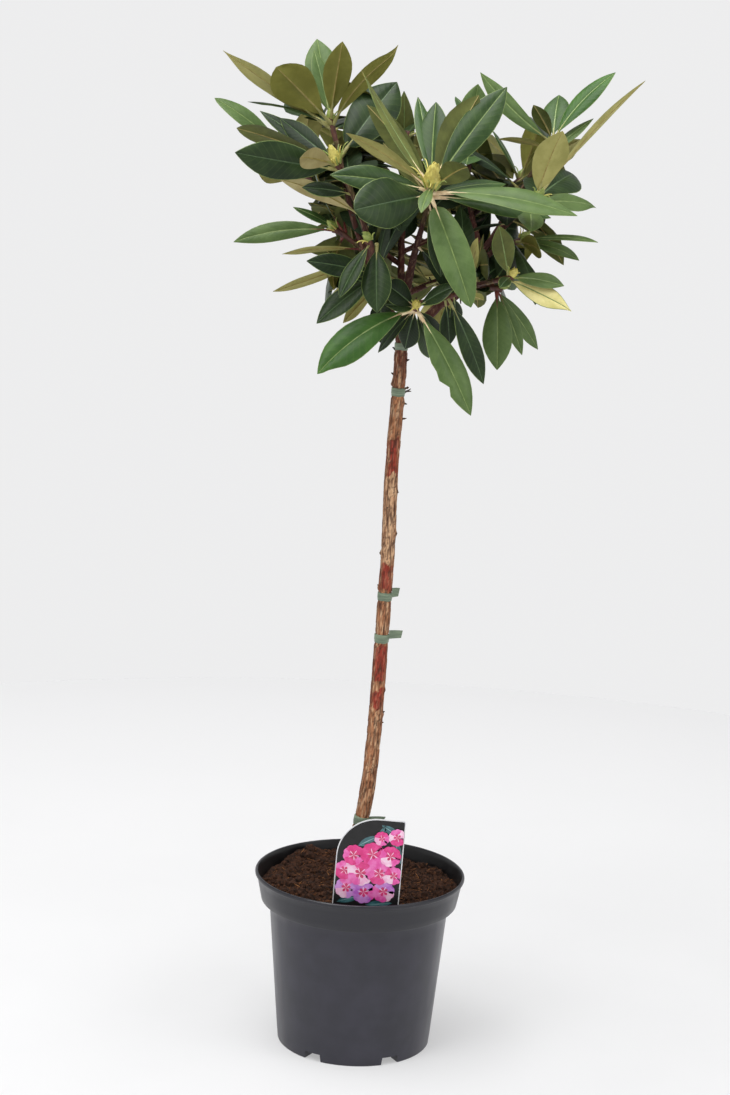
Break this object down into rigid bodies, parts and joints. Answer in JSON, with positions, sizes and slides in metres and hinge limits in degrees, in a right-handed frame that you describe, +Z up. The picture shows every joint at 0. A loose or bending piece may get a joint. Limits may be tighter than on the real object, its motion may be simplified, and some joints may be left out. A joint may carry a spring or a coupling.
{
  "type": "potted standard rhododendron",
  "caption": "Evergreen shrub trained as a standard: a round open head of long leathery leaves on a thin leaning bare trunk with tie bands, in a black nursery pot of peat with a printed label.",
  "frame": {"origin": "middle of the pot's flat underside, on the surface it stands on", "axes": "+Z up along the plant, -Y towards the plant's front, where the label stands, and +X to the right, the way the crown leans"},
  "size_m": [0.433, 0.425, 1.059],
  "materials": {
    "charcoal_plastic": "satin",
    "peat": "matte",
    "red_brown_bark": "matte",
    "young_bark": "matte",
    "leaf_green": "satin",
    "tie_green": "matte",
    "printed_card": "satin"
  },
  "bodies": {
    "root": {"pot": "charcoal_plastic", "soil": "peat", "trunk": "red_brown_bark", "bough_front": "young_bark", "bough_left": "young_bark", "bough_right": "young_bark", "bough_back": "young_bark", "bough_front_low": "young_bark", "bough_top_left": "young_bark", "bough_left_low": "young_bark", "bough_side_left": "young_bark", "bough_top": "young_bark", "bough_top_middle": "young_bark", "bough_side_right": "young_bark", "bough_right_low": "young_bark", "bough_right_front": "young_bark", "bough_right_hanging": "young_bark", "bough_back_left": "young_bark", "bough_back_right": "young_bark", "bough_back_low": "young_bark", "bough_back_left_low": "young_bark", "mass_top_left": "leaf_green", "mass_left_front": "leaf_green", "mass_front": "leaf_green", "mass_top_right": "leaf_green", "mass_right": "leaf_green", "mass_right_low": "leaf_green", "mass_right_front": "leaf_green", "mass_right_hanging": "leaf_green", "mass_front_low": "leaf_green", "mass_left_low": "leaf_green", "mass_left": "leaf_green", "mass_top": "leaf_green", "mass_top_middle": "leaf_green", "mass_back_left": "leaf_green", "mass_back_right": "leaf_green", "mass_back": "leaf_green", "mass_back_low": "leaf_green", "mass_back_left_low": "leaf_green", "tie_1": "tie_green", "tie_2": "tie_green", "tie_3": "tie_green", "tie_4": "tie_green", "tie_5": "tie_green", "label": "printed_card"}
  },
  "joints": []
}
